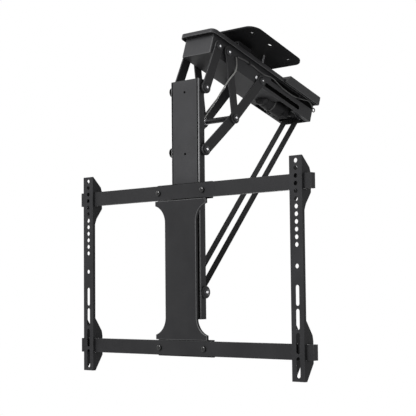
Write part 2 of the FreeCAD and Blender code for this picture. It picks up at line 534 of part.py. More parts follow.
waist_front = RAIL_FRONT + WAIST_SET
waist_back = waist_front + WAIST_T
outer = waist(0, waist_front, plate_top, plate_low).extrude(V(0, WAIST_D, 0))
inner = waist(WAIST_T, waist_back, plate_top + WAIST_RIM, plate_low - WAIST_RIM).extrude(V(0, WAIST_D, 0))
save("centre_plate", seat(outer.cut(inner)))
blocks = [box(-STANDOFF_HALF, STANDOFF_HALF, waist_back, col_face, z - STANDOFF_H / 2, z + STANDOFF_H / 2)
          for z in (plate_top - STANDOFF_IN, plate_low + STANDOFF_IN)]
save("plate_standoffs", seat(Part.makeCompound(blocks)))

# Television brackets, channels with two deep ears that the rails pass through
# Their side outline runs down as (height, depth)
SHALLOW, DEEP = 7.0, 28.0
PROFILE = [(BRACKET_TOP, BRACKET_T), (-12.7, 24.5), (-23, DEEP), (-60.5, DEEP), (-83, 11.6), (-95, SHALLOW),
           (-302, SHALLOW), (-330.5, 26), (-341, DEEP), (-382.8, DEEP), (BRACKET_BOTTOM, SHALLOW)]


def bracket(x):
    x0, x1 = x - BRACKET_W / 2, x + BRACKET_W / 2
    front = box(x0, x1, 0, BRACKET_T, BRACKET_BOTTOM, BRACKET_TOP)
    outline = [(0, BRACKET_TOP)] + [(depth, z) for z, depth in PROFILE] + [(0, BRACKET_BOTTOM)]
    sides = [face_yz(outline, a, a + BRACKET_T) for a in (x0, x1 - BRACKET_T)]
    body = front.multiFuse(sides).removeSplitter()
    cuts = [rod("y", (x, -HOLE_PITCH * k), [(-1, BRACKET_T + 1, HOLE_R)]) for k in range(HOLE_COUNT)]
    cuts.append(rod("y", (x, LONE_HOLE), [(-1, BRACKET_T + 1, HOLE_R)]))
    cuts += [slot_tool("face", x, -1, z, SLOT_L, HOLE_R, BRACKET_T + 2) for z in SLOTS]
    for z in RAIL_Z:
        half = RAIL_H / 2 + WINDOW_GAP
        cuts.append(box(x0 - 1, x1 + 1, RAIL_FRONT - WINDOW_GAP, rail_back + WINDOW_GAP, z - half, z + half))
    return body.cut(Part.makeCompound(cuts))


save("bracket_right", seat(bracket(SHIFT + BRACKET_X)))
save("bracket_left", seat(bracket(SHIFT - BRACKET_X)))

# Report each node, its solids and its size
for name, shape in NODES.items():
    b = shape.BoundBox
    bad = "" if shape.isValid() and all(s.isClosed() for s in shape.Shells) else "  NOT VALID"
    corners = [round(v, 1) for v in (b.XMin, b.XMax, b.YMin, b.YMax, b.ZMin, b.ZMax)]
    print(name, len(shape.Solids), corners, bad)
print("pivots E F G", [[round(v, 2) for v in p] for p in (PIVOT_E, PIVOT_F, PIVOT_G)])
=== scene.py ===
# %% [markdown]
# This lesson dresses a folding ceiling mount for a television in Blender.
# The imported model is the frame: every CAD node is already in place, in metres, and keeps its place.
# We add finishes, a camera, soft light and the few pieces that CAD only roughs out or leaves out.

# %% Load the frame
import math

import bmesh
import bpy
from mathutils import Matrix, Vector


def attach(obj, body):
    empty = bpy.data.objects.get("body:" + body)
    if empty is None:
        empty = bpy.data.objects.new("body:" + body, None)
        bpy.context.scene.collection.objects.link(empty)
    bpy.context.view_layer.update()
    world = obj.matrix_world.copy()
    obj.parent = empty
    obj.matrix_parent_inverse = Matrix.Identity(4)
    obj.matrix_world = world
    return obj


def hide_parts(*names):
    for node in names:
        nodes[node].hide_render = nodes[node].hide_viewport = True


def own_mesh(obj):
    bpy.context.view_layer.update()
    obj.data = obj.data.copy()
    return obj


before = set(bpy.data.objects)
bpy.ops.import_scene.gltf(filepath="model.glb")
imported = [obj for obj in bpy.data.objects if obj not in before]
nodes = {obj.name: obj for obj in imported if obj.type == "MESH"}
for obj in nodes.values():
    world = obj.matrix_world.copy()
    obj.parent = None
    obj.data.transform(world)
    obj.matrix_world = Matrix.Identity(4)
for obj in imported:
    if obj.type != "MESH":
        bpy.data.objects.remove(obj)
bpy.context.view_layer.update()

scene = bpy.context.scene

# %% [markdown]
# The photograph looks up at the mount from its right, so we see under the beam.
# The mount hangs from a pitched ceiling. In the model the ceiling plate is level, so the camera tips instead.
# A long lens keeps the verticals nearly parallel, as in the photograph.

# %% Camera
PITCHED_ROOF = math.radians(18.0)
SENSOR_WIDTH, FOCAL_LENGTH = 36.0, 100.8
camera_place = Vector((1.6448, -1.7021, -1.1136))
yaw, pitch, roll = math.radians(41.88), math.radians(4.08), math.radians(-0.58)
forward = Vector((-math.sin(yaw) * math.cos(pitch), math.cos(yaw) * math.cos(pitch), math.sin(pitch)))
right = Vector((math.cos(yaw), math.sin(yaw), 0.0))
up = right.cross(forward)
right, up = right * math.cos(roll) + up * math.sin(roll), up * math.cos(roll) - right * math.sin(roll)
turn = Matrix((right, up, -forward)).transposed()
turn = Matrix.Rotation(PITCHED_ROOF, 3, "X") @ turn
lens = bpy.data.cameras.new("photo_camera")
lens.sensor_width, lens.lens = SENSOR_WIDTH, FOCAL_LENGTH
camera = bpy.data.objects.new("photo_camera", lens)
camera.matrix_world = Matrix.Translation(camera_place) @ turn.to_4x4()
scene.collection.objects.link(camera)
scene.camera = camera
print("camera looks along", [round(v, 3) for v in -turn.col[2]])

# %% [markdown]
# A thin cable hangs in a loose bow from the beam's flank into the open back of the column.
# Its route is a short list of points, copied from the CAD source, and a NURBS curve smooths them.
# We take the smooth line as the path, then a round bevel gives the tube, which becomes a mesh.

# %% The loose cable
CABLE_ROUTE = [(0.0427, -0.0662, -0.0566), (0.0465, -0.0625, -0.074), (0.0515, -0.068, -0.094),
               (0.0515, -0.079, -0.112), (0.045, -0.0885, -0.143), (0.036, -0.094, -0.176),
               (0.0255, -0.103, -0.210), (0.0235, -0.111, -0.238)]
CABLE_THICK = 0.003


def smooth_route(name, route):
    # A curve that starts and ends on the route's ends and smooths the rest
    data = bpy.data.curves.new(name, "CURVE")
    data.dimensions = "3D"
    spline = data.splines.new("NURBS")
    spline.points.add(len(route) - 1)
    for point, place in zip(spline.points, route):
        point.co = (*place, 1.0)
    spline.order_u = 3
    spline.use_endpoint_u = True
    spline.resolution_u = 12
    return data


def baked(name, data):
    # The curve's evaluated mesh as a new object at the origin
    holder = bpy.data.objects.new(name + "_route", data)
    scene.collection.objects.link(holder)
    graph = bpy.context.evaluated_depsgraph_get()
    mesh = bpy.data.meshes.new_from_object(holder.evaluated_get(graph))
    bpy.data.objects.remove(holder)
    mesh.name = name
    return mesh


route = smooth_route("sensor_line", CABLE_ROUTE)
line = baked("sensor_line", route)
route.bevel_depth = CABLE_THICK / 2
route.bevel_resolution = 4
route.use_fill_caps = True
cable = bpy.data.objects.new("loose_cable", baked("loose_cable", route))
scene.collection.objects.link(cable)
for face in cable.data.polygons:
    face.use_smooth = True
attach(cable, "sensor_cable")
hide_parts("sensor_cable")

# %% [markdown]
# Materials are node graphs, and shader maths reads best as plain expressions.
# So a tiny class wraps a socket: adding or multiplying two of them adds the Math node for us.
# One method makes every other node from its type, its settings and its inputs.

# %% A wrapper for sockets
class Wire:
    def __init__(self, finish, socket):
        self.finish, self.socket = finish, socket

    def _math(self, operation, a, b):
        return self.finish.node("ShaderNodeMath", {"operation": operation}, {0: a, 1: b})

    def __add__(self, other):
        return self._math("ADD", self, other)

    def __radd__(self, other):
        return self._math("ADD", other, self)

    def __mul__(self, other):
        return self._math("MULTIPLY", self, other)


class Finish:
    def __init__(self, name, roughness=0.5, metallic=0.0, **fixed):
        self.material = bpy.data.materials.new(name)
        self.material.use_nodes = True
        self.tree = self.material.node_tree
        self.shader = self.tree.nodes["Principled BSDF"]
        self.shader.inputs["Roughness"].default_value = roughness
        self.shader.inputs["Metallic"].default_value = metallic
        for key, value in fixed.items():
            self.shader.inputs[key.replace("_", " ")].default_value = value
        self.place = self.node("ShaderNodeTexCoord", {}, {}, "Object")

    def node(self, kind, settings, values, output=0):
        made = self.tree.nodes.new(kind)
        for key, value in settings.items():
            setattr(made, key, value)
        for key, value in values.items():
            if isinstance(value, Wire):
                self.tree.links.new(value.socket, made.inputs[key])
            else:
                made.inputs[key].default_value = value
        return Wire(self, made.outputs[output])

    def noise(self, scale, detail=3.0, rough=0.5, place=None):
        return self.node("ShaderNodeTexNoise", {}, {"Vector": place or self.place, "Scale": scale,
                                                    "Detail": detail, "Roughness": rough}, "Fac")

    def stretch(self, x, y, z):
        # The place with each axis scaled, so that a noise on it draws out into lines
        return self.node("ShaderNodeMapping", {}, {"Vector": self.place, "Scale": (x, y, z)})

    def shade(self, mask, dark, light):
        # Blends two colours by a mask from 0 to 1
        return self.node("ShaderNodeMix", {"data_type": "RGBA", "clamp_factor": True},
                         {0: mask, 6: (*dark, 1.0), 7: (*light, 1.0)}, 2)

    def between(self, value, low, high):
        # 0 at low, 1 at high and straight between them
        return self.node("ShaderNodeMapRange", {}, {0: value, 1: low, 2: high, 3: 0.0, 4: 1.0})

    def wear(self, color=None, roughness=None, height=None, depth=0.0001, strength=0.4):
        # Links what varies to the shader; the height becomes a bump of that depth in metres
        for key, value in (("Base Color", color), ("Roughness", roughness)):
            if value is not None:
                self.tree.links.new(value.socket, self.shader.inputs[key])
        if height is not None:
            bump = self.node("ShaderNodeBump", {}, {"Strength": strength, "Distance": depth, "Height": height})
            self.tree.links.new(bump.socket, self.shader.inputs["Normal"])
        return self.material


print("finish tools", Wire.__name__, Finish.__name__)

# %% [markdown]
# Most of the mount is folded steel with a satin black powder coat.
# Up close the powder cures to a fine orange-peel skin, so a small noise drives the bump.
# A slow, wide noise shifts the colour and the gloss a little, as on any real batch of coating.
# The colours for bent edges and for the cover's round corner are lighter: a painted highlight for the line of light
# they catch.

# %% Powder coat


def powder_coat(name, dark, light, rough, gloss):
    f = Finish(name, roughness=rough, Specular_IOR_Level=gloss)
    skin = f.noise(1500.0, 2.0)
    cloud = f.noise(14.0, 4.0, 0.6)
    speck = f.between(f.noise(420.0, 2.0), 0.62, 0.74)
    mask = f.between(cloud, 0.3, 0.7) * 0.8 + speck * 0.2
    return f.wear(f.shade(mask, dark, light), f.between(cloud, 0.25, 0.75) * 0.09 + (rough - 0.05) + speck * 0.05,
                  skin * 0.8 + speck * 0.2, 0.00012, 0.35)


frame_coat = powder_coat("satin_black_coat", (0.026, 0.026, 0.0275), (0.036, 0.036, 0.038), 0.46, 0.13)
# The plate's coat is made much darker than the frame's: painted shade for the shade it lies in under the beam
plate_coat_with_painted_shade = powder_coat("ceiling_plate_coat_with_painted_shade", (0.008, 0.008, 0.0085), (0.012, 0.012, 0.0125), 0.62, 0.05)
link_coat = powder_coat("link_coat", (0.017, 0.017, 0.018), (0.024, 0.024, 0.0255), 0.44, 0.13)
rail_coat = powder_coat("rail_coat", (0.013, 0.013, 0.014), (0.019, 0.019, 0.020), 0.50, 0.12)
# A lighter colour for bevel faces: a painted highlight along bent edges
edge_painted_highlight = powder_coat("painted_highlight_on_bent_edges", (0.055, 0.055, 0.057), (0.080, 0.080, 0.083), 0.42, 0.4)
# A lighter colour for the cover's round corner: a painted highlight
corner_painted_highlight = powder_coat("painted_highlight_on_round_corner", (0.130, 0.130, 0.133), (0.170, 0.170, 0.174), 0.40, 0.4)
motor_coat = powder_coat("motor_coat", (0.020, 0.020, 0.021), (0.028, 0.028, 0.029), 0.55, 0.08)
# The flange's lighter colour is a painted highlight, the light band on the motor's end
ring_painted_highlight = powder_coat("motor_ring_painted_highlight", (0.075, 0.075, 0.075), (0.11, 0.11, 0.11), 0.45, 0.2)
bracket_coat = powder_coat("bracket_coat", (0.0155, 0.0155, 0.0165), (0.022, 0.022, 0.0235), 0.48, 0.10)
tray_coat = powder_coat("tray_coat", (0.034, 0.034, 0.0355), (0.046, 0.046, 0.048), 0.46, 0.14)
coats = (frame_coat, plate_coat_with_painted_shade, link_coat, rail_coat, edge_painted_highlight, corner_painted_highlight, motor_coat, ring_painted_highlight, bracket_coat,
         tray_coat)
print("coats", [coat.name for coat in coats])

# %% [markdown]
# Bolts are blackened steel, turned on a lathe, so very fine scratches run over them.
# The domed centres of the pivot bolts are polished brighter and catch a spark of light.

# %% Bolt and motor metals


def turned_metal(name, dark, light, rough, lines):
    f = Finish(name, roughness=rough, metallic=0.85)
    scratch = f.noise(900.0, 3.0, 0.6, f.stretch(*lines))
    cloud = f.noise(60.0, 3.0)
    mask = scratch * 0.6 + cloud * 0.4
    return f.wear(f.shade(f.between(mask, 0.35, 0.65), dark, light), f.between(mask, 0.3, 0.7) * 0.14 + (rough - 0.07),
                  scratch, 0.00004, 0.25)


bolt_metal = turned_metal("blackened_bolt_steel", (0.018, 0.018, 0.019), (0.04, 0.04, 0.042), 0.42, (1.0, 0.2, 0.2))
bright_metal = turned_metal("polished_bolt_centre", (0.60, 0.60, 0.62), (0.82, 0.82, 0.84), 0.22, (0.3, 1.0, 1.0))
motor_metal = turned_metal("motor_case_metal", (0.022, 0.022, 0.023), (0.04, 0.04, 0.042), 0.44, (0.4, 0.05, 0.4))
print("metals", [metal.name for metal in (bolt_metal, bright_metal, motor_metal)])

# %% [markdown]
# End caps, bosses and the socket are moulded plastic with a spark-eroded grain.
# The cable sheath is smooth PVC, a little glossier. The lifting belts are woven, with ribs across the strap.
# A matt black is painted shade in dark gaps and recesses and also the colour of a few black parts, and a glossy one is
# for the heads of the rail bolts.

# %% Plastic, sheath and webbing


def moulded(name, dark, light, rough, grain, gloss=0.2):
    f = Finish(name, roughness=rough, Specular_IOR_Level=gloss)
    pits = f.node("ShaderNodeTexVoronoi", {}, {"Vector": f.place, "Scale": grain}, "Distance")
    cloud = f.noise(35.0, 3.0)
    return f.wear(f.shade(f.between(cloud, 0.3, 0.7), dark, light), pits * 0.12 + (rough - 0.04), pits, 0.00008, 0.3)


def webbing(name, dark, light):
    f = Finish(name, roughness=0.8, Specular_IOR_Level=0.12)
    ribs = f.node("ShaderNodeTexWave", {"wave_type": "BANDS", "bands_direction": "X"},
                  {"Vector": f.place, "Scale": 260.0, "Distortion": 0.4}, "Fac")
    picks = f.node("ShaderNodeTexWave", {"wave_type": "BANDS", "bands_direction": "Z"},
                   {"Vector": f.place, "Scale": 180.0, "Distortion": 0.6}, "Fac")
    weave = ribs * 0.55 + picks * 0.45
    fuzz = f.noise(700.0, 3.0)
    return f.wear(f.shade(weave * 0.7 + fuzz * 0.3, dark, light), 0.72 + fuzz * 0.16, weave, 0.00025, 0.6)


plastic = moulded("moulded_black_plastic", (0.010, 0.010, 0.011), (0.017, 0.017, 0.018), 0.48, 1400.0)
sheath = moulded("loose_cable_pvc", (0.16, 0.16, 0.155), (0.23, 0.23, 0.22), 0.34, 2200.0, 0.5)
lead_sheath = moulded("lead_pvc", (0.045, 0.045, 0.045), (0.075, 0.075, 0.074), 0.36, 2200.0, 0.4)
# Matt black: painted shade in gaps, grooves and behind slots, and the colour of a few black parts
black_and_painted_shade = moulded("matt_black_and_painted_shade", (0.002, 0.002, 0.002), (0.004, 0.004, 0.004), 0.9, 900.0, 0.03)
strap = webbing("lifting_belt_webbing", (0.009, 0.009, 0.0095), (0.028, 0.028, 0.029))
head_black = moulded("glossy_bolt_head", (0.002, 0.002, 0.002), (0.004, 0.004, 0.004), 0.13, 500.0, 0.45)
print("soft finishes", [soft.name for soft in (plastic, sheath, lead_sheath, black_and_painted_shade, strap, head_black)])

# %% [markdown]
# Each CAD node keeps its shape. We only give it a material and soften its edges, a little more on sheet steel.
# The imported mesh is loose triangles, so a Weld modifier joins them before a narrow Bevel rounds the sharp edges.
# Real bent sheet has a small radius. On the coated parts the bevel gets a lighter colour, a painted highlight along the
# edge.

# %% Dress the CAD nodes
LOOKS = {
    plate_coat_with_painted_shade: ["ceiling_plate"],
    tray_coat: ["control_box"],
    rail_coat: ["rail_upper", "rail_lower", "centre_plate", "plate_standoffs"],
    bracket_coat: ["bracket_right", "bracket_left"],
    link_coat: ["link_front_right", "link_front_left", "link_rear_right", "link_rear_left", "link_long_right",
                "link_long_left", "neck_block", "neck_foot"],
    bolt_metal: ["pivot_bolts_front", "pivot_bolts_rear", "link_front_studs", "column_bolts", "column_pins",
                 "cross_rod", "guide_pins", "belt_anchor_pin", "lid_nuts"],
    # The rail carriers behind the rails are matt black as painted shade
    black_and_painted_shade: ["cover_screws", "rail_carriers"],
    head_black: ["rail_bolts"],
    bright_metal: ["support_posts"],
    plastic: ["column_cap", "rail_end_caps", "power_socket", "motor_end_cap", "cable_clips", "cable_grommets",
              "motor_plug", "pivot_bosses"],
    motor_coat: ["motor_body", "gearbox", "motor_hanger"],
    motor_metal: ["belt_drum", "drum_bearings", "rear_eye"],
    ring_painted_highlight: ["motor_flange"],
    strap: ["belt_turns", "belt_right", "belt_left"],
    lead_sheath: ["lead_cable"],
    sheath: ["sensor_cable"],
}
finish_of = {name: look for look, names in LOOKS.items() for name in names}
SHEET = {"top_lid", "beam_channel", "front_panel", "rear_panel", "column_channel", "rail_upper", "rail_lower",
         "centre_plate", "bracket_right", "bracket_left", "control_box", "ceiling_plate"}
NO_EDGE = {"lead_cable", "sensor_cable", "belt_right", "belt_left", "belt_turns", "rear_eye", "column_pins"}
HIGHLIGHT_PAINTED_EDGES = (frame_coat, rail_coat, link_coat, bracket_coat, tray_coat)
JOIN_WITHIN, SHEET_EDGE, BLOCK_EDGE = 0.00002, 0.0008, 0.0005
FLAT_ANGLE, SHARP_ANGLE = math.radians(1.0), math.radians(50)
for name, node in nodes.items():
    node.data.materials.clear()
    node.data.materials.append(finish_of.get(name, frame_coat))
    if name in NO_EDGE:
        continue
    weld = node.modifiers.new("join_triangles", "WELD")
    weld.merge_threshold = JOIN_WITHIN
    flat = node.modifiers.new("whole_faces", "DECIMATE")
    flat.decimate_type, flat.angle_limit = "DISSOLVE", FLAT_ANGLE
    edge = node.modifiers.new("bent_edge", "BEVEL")
    edge.width = SHEET_EDGE if name in SHEET else BLOCK_EDGE
    edge.segments = 2
    edge.limit_method, edge.angle_limit = "ANGLE", SHARP_ANGLE
    edge.use_clamp_overlap = True
    # On these coats the bevel faces get the lighter colour, a painted highlight along the edge
    if finish_of.get(name, frame_coat) in HIGHLIGHT_PAINTED_EDGES:
        node.data.materials.append(edge_painted_highlight)
        edge.material = 1
    even = node.modifiers.new("even_shading", "WEIGHTED_NORMAL")
    even.keep_sharp, even.weight = False, 80
print("dressed", len(nodes), "nodes with", len({look.name for look in finish_of.values()}) + 1, "finishes")

# %% [markdown]
# The rest are new pieces, and four small tools make them.
# A lathe spins a profile round an axis, and a pair of rings is two such spins, one on each side of the mount.
# A slab is one face, extruded. The last tool turns the result into an object that rides on one of the bodies.

# %% Tools for new pieces
X_AXIS, Y_AXIS = Vector((1, 0, 0)), Vector((0, 1, 0))
SAME_POINT = 0.000005


def lathe(bm, centre, profile, steps, axis=X_AXIS, radial=Y_AXIS, ring=False):
    # Spins (along the axis, radius) points once round the axis through centre. A ring's profile closes on itself
    verts = [bm.verts.new(centre + axis * along + radial * radius) for along, radius in profile]
    pairs = list(zip(verts, verts[1:])) + ([(verts[-1], verts[0])] if ring else [])
    edges = [bm.edges.new(pair) for pair in pairs]
    bmesh.ops.spin(bm, geom=verts + edges, cent=centre, axis=axis, angle=math.tau, steps=steps, use_merge=True)


def ring_pair(place, radius, hole, start, end, near_cut, far_cut, steps):
    # A ring on each side of the mount. Each cut is what an outer corner loses along the axis and in radius
    bm = bmesh.new()
    profile = [(start, hole), (start, radius - near_cut[1]), (start + near_cut[0], radius),
               (end - far_cut[0], radius), (end, radius - far_cut[1]), (end, hole)]
    for side in (1, -1):
        lathe(bm, Vector((0, *place)), [(side * along, r) for along, r in profile], steps, ring=True)
    return bm


def slab(corners, reach):
    # One face through the corners, extruded along reach
    bm = bmesh.new()
    outline = bm.faces.new([bm.verts.new(corner) for corner in corners])
    grown = bmesh.ops.extrude_face_region(bm, geom=[outline])
    bmesh.ops.translate(bm, vec=reach, verts=[v for v in grown["geom"] if isinstance(v, bmesh.types.BMVert)])
    return bm


def piece(name, bm, body, look, smooth=True, slot=None):
    # The mesh as a new object that rides on a body
    bmesh.ops.remove_doubles(bm, verts=bm.verts, dist=SAME_POINT)
    bmesh.ops.recalc_face_normals(bm, faces=bm.faces)
    mesh = bpy.data.meshes.new(name)
    bm.to_mesh(mesh)
    bm.free()
    for face in mesh.polygons:
        face.use_smooth = smooth
    mesh.materials.append(look)
    made = bpy.data.objects.new(name, mesh)
    scene.collection.objects.link(made)
    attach(made, body)
    return made


print("tools", [tool.__name__ for tool in (lathe, ring_pair, slab, piece)])

# %% [markdown]
# Every pivot bolt has a polished dome at its centre, on both sides of the mount, and each flank has a flat rivet.
# All domes that ride on one body are one piece, so the table of pieces stays short.
# The pivots are named by letters, as in the CAD source, and each is a pair of y and z.

# %% Polished domes on the pivot bolts
# A and B are on the beam, C is the cross rod, D the guide pin, E and F are on the column, G is the belts' anchor pin
A, B, C, D = (-0.124, -0.0589), (-0.0955, -0.0592), (-0.0349, -0.1854), (0.0277, -0.068)
E, F, G = (-0.09723, -0.2842), (-0.13512, -0.16013), (-0.00804, -0.5655)


def spun_dome(bm, side, out, place, radius, height):
    # A quarter profile from the rim to the top
    profile = [(0.0, radius), (height * 0.35, radius), (height * 0.72, radius * 0.86), (height * 0.94, radius * 0.55),
               (height, 0.0)]
    lathe(bm, Vector((side * out, *place)), [(side * along, r) for along, r in profile], DOME_STEPS)


# For each body: the place of a dome, how far out from the middle it sits, then its radius and height
RIVET, SUNK, DOME_STEPS = (0.0122, -0.0666), 0.0001, 20
DOME, SMALL_DOME, RIVET_HEAD = (0.0027, 0.0012), (0.0019, 0.0012), (0.0042, 0.0009)
DOMES = {"beam": [(A, 0.0470, DOME), (B, 0.0505, DOME), (RIVET, 0.04005, RIVET_HEAD)],
         "link_front": [(F, 0.0467, DOME)],
         "link_long": [(C, 0.0505, DOME), (D, 0.0467, SMALL_DOME)],
         "column": [(E, 0.0470, DOME), (G, 0.0437, DOME)]}
for body, seats in DOMES.items():
    bm = bmesh.new()
    for place, out, (radius, height) in seats:
        for side in (1, -1):
            spun_dome(bm, side, out - SUNK, place, radius, height)
    dome = piece("bolt_domes_" + body, bm, body, bright_metal, slot="bolt_steel")
    print(dome.name, len(dome.data.polygons), "faces")

# %% [markdown]
# At the left edge of the column the photograph shows two dark bumps, the tall caps on the far ends of two pivots.
# A bright collar sits at each end of the cross rod.

# %% Left caps and rod collars
CAP_R, CAP_END, CAP_STEPS = 0.0112, 0.0534, 32
CAPS = [("left_cap_front", "link_front", F, 0.0441), ("left_cap_low", "column", E, 0.0444)]
for name, body, place, start in CAPS:
    bm = bmesh.new()
    # A straight wall, a rounded rim in two steps and a flat end
    profile = [(start, CAP_R), (CAP_END - 0.0015, CAP_R), (CAP_END - 0.0004, CAP_R - 0.0005),
               (CAP_END, CAP_R - 0.0018), (CAP_END, 0.0)]
    lathe(bm, Vector((0, *place)), [(-along, r) for along, r in profile], CAP_STEPS)
    piece(name, bm, body, black_and_painted_shade, smooth=False, slot="black_plastic")

COLLAR_R, COLLAR_HOLE, COLLAR_IN, COLLAR_OUT, COLLAR_CUT = 0.0067, 0.0061, 0.0345, 0.0408, (0.0006, 0.0003)
bm = ring_pair(C, COLLAR_R, COLLAR_HOLE, COLLAR_IN, COLLAR_OUT, COLLAR_CUT, COLLAR_CUT, steps=24)
collars = piece("rod_collars", bm, "link_long", bright_metal, smooth=False, slot="bolt_steel")
print("caps and", collars.name, len(collars.data.polygons))

# %% [markdown]
# The column has its own upright frame, which leans with the pitched roof.
# In it the cover's cross section is easy to draw: a groove near each long edge and a round corner that catches light.
# The section becomes one face, and an extrude along the column gives the whole cover.
# The corners get a lighter colour, a painted highlight, and the grooves a matt black, painted shade in the recess.

# %% Grooved cover on the column
COLUMN = Matrix.Translation((0, -0.1205, -0.3417)) @ Matrix.Rotation(PITCHED_ROOF, 4, "X")
# Half widths, depths and heights in the column's frame
COVER_HALF, COVER_FRONT, COVER_BACK, COVER_IN, COVER_THICK = 0.0394, 0.022, 0.0275, 0.0362, 0.00145
COVER_LOW, COVER_TOP, CORNER, CORNER_STEPS = -0.303, 0.195, 0.0020, 6
GROOVE_AT, GROOVE_WIDE, GROOVE_DEEP, MARGIN = 0.0371, 0.0027, 0.0013, 0.0001
half_section = [(GROOVE_AT - GROOVE_WIDE, COVER_FRONT), (GROOVE_AT - GROOVE_WIDE, COVER_FRONT + GROOVE_DEEP),
                (GROOVE_AT, COVER_FRONT + GROOVE_DEEP), (GROOVE_AT, COVER_FRONT)]
for step in range(CORNER_STEPS + 1):
    around = math.radians(90 * step / CORNER_STEPS)
    half_section.append((COVER_HALF - CORNER + CORNER * math.sin(around),
                         COVER_FRONT + CORNER - CORNER * math.cos(around)))
half_section += [(COVER_HALF, COVER_BACK), (COVER_IN, COVER_BACK), (COVER_IN, COVER_FRONT + COVER_THICK)]
section = half_section + [(-x, y) for x, y in reversed(half_section)]
bm = slab([(x, y, COVER_LOW) for x, y in section], (0, 0, COVER_TOP - COVER_LOW))
for face in bm.faces:
    middle = face.calc_center_median()
    on_corner = abs(middle.x) > COVER_HALF - CORNER and middle.y < COVER_FRONT + CORNER
    in_groove = GROOVE_AT - GROOVE_WIDE - MARGIN < abs(middle.x) < GROOVE_AT + MARGIN and middle.y > COVER_FRONT
    is_end = abs(face.normal.z) > 0.5
    # Index 1 paints a highlight on the round corner, index 2 paints shade in the groove
    face.material_index = 0 if is_end else 1 if on_corner else 2 if in_groove else 0
bmesh.ops.transform(bm, matrix=COLUMN, verts=bm.verts)
cover = piece("grooved_cover", bm, "column", frame_coat, smooth=False, slot="black_steel")
for face in cover.data.polygons:
    face.use_smooth = face.material_index == 1
cover.data.materials.append(corner_painted_highlight)
cover.data.materials.append(black_and_painted_shade)
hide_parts("column_cover")
print(cover.name, len(cover.data.polygons), "faces")

# %% [markdown]
# The centre plate is a slab with a narrow waist and wide ends. CAD gives it a deep rim, but the photograph shows
# a thin one, so a new plate takes its place. Each flare is an arc that meets the narrow part smoothly.

# %% Centre plate
WAIST_HALF, WIDE_HALF, WIDE_LENGTH, FLARE = 0.0435, 0.0713, 0.010, 0.036
PLATE_TOP, PLATE_LOW, PLATE_FRONT, PLATE_DEEP, RIM_EDGE, ARC_STEPS = -0.0565, -0.3447, 0.0042, 0.0060, 0.0010, 12
arc = ((WIDE_HALF - WAIST_HALF) ** 2 + FLARE ** 2) / (2 * (WIDE_HALF - WAIST_HALF))
sweep = math.asin(FLARE / arc)


def flare(z, way):
    # From the narrow part at height z towards the plate's end, way is 1 for up
    turns = [sweep * step / ARC_STEPS for step in range(ARC_STEPS + 1)]
    return [(WAIST_HALF + arc - arc * math.cos(a), z + way * arc * math.sin(a)) for a in turns]


upper = flare(PLATE_TOP - WIDE_LENGTH - FLARE, 1)
lower = flare(PLATE_LOW + WIDE_LENGTH + FLARE, -1)
right_side = [(WIDE_HALF, PLATE_TOP)] + upper[::-1] + lower + [(WIDE_HALF, PLATE_LOW)]
plate_outline = right_side + [(-x, z) for x, z in right_side[::-1]]
bm = slab([(x, PLATE_FRONT, z) for x, z in plate_outline], (0, PLATE_DEEP, 0))
bmesh.ops.recalc_face_normals(bm, faces=bm.faces)
front_rim = [e for e in bm.edges if all(abs(v.co.y - PLATE_FRONT) < 1e-6 for v in e.verts)]
bmesh.ops.bevel(bm, geom=front_rim, offset=RIM_EDGE, offset_type="OFFSET", segments=2, profile=0.5, affect="EDGES",
                material=-1)
bm.normal_update()
# Only the bevel's faces lean between the front and the sides, and they get the lighter colour, a painted highlight
# along the rim
for face in bm.faces:
    face.material_index = 1 if -0.97 < face.normal.y < -0.1 else 0
bmesh.ops.transform(bm, matrix=COLUMN, verts=bm.verts)
pan = piece("waisted_plate", bm, "column", rail_coat, smooth=False, slot="black_steel")
pan.data.materials.append(edge_painted_highlight)
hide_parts("centre_plate")
print(pan.name, len(pan.data.polygons), "faces")

# %% [markdown]
# Glossy domes finish the four rail bolts, spun about the column's depth axis in its upright frame.
# A broad washer sits on each side of the belts' anchor pin.

# %% Rail bolt domes and anchor washers
BOLT_OUT, BOLT_HIGH, BOLT_LOW = 0.062, -0.0395, -0.3615
HEAD_SEAT, HEAD_STEPS = 0.0034, 24
HEAD_PROFILE = [(0.0002, 0.0058), (-0.0004, 0.0058), (-0.0012, 0.0052), (-0.0018, 0.0040), (-0.0022, 0.0022),
                (-0.0023, 0.0)]
bm = bmesh.new()
for x in (BOLT_OUT, -BOLT_OUT):
    for z in (BOLT_HIGH, BOLT_LOW):
        lathe(bm, Vector((x, HEAD_SEAT, z)), HEAD_PROFILE, HEAD_STEPS, axis=Y_AXIS, radial=X_AXIS)
bmesh.ops.transform(bm, matrix=COLUMN, verts=bm.verts)
domes = piece("rail_bolt_domes", bm, "column", head_black, slot="bolt_steel")

WASHER_R, WASHER_HOLE, WASHER_IN, WASHER_OUT = 0.0130, 0.0080, 0.0385, 0.0413
bm = ring_pair(G, WASHER_R, WASHER_HOLE, WASHER_IN, WASHER_OUT, (0.0006, 0.0006), (0.0008, 0.0008), steps=32)
washers = piece("anchor_washers", bm, "column", plastic, smooth=False, slot="black_plastic")
print(domes.name, len(domes.data.polygons), washers.name, len(washers.data.polygons))

# %% [markdown]
# Under the beam the photograph shows no light between the floor and the motor, so a notched plate closes that gap.
# It also shows a black band on the flank, from the lead up to the tray, and nothing but black behind the slots. Thin
# matt black sheets paint that shade: a painted shadow under the tray and painted shade behind the slots.

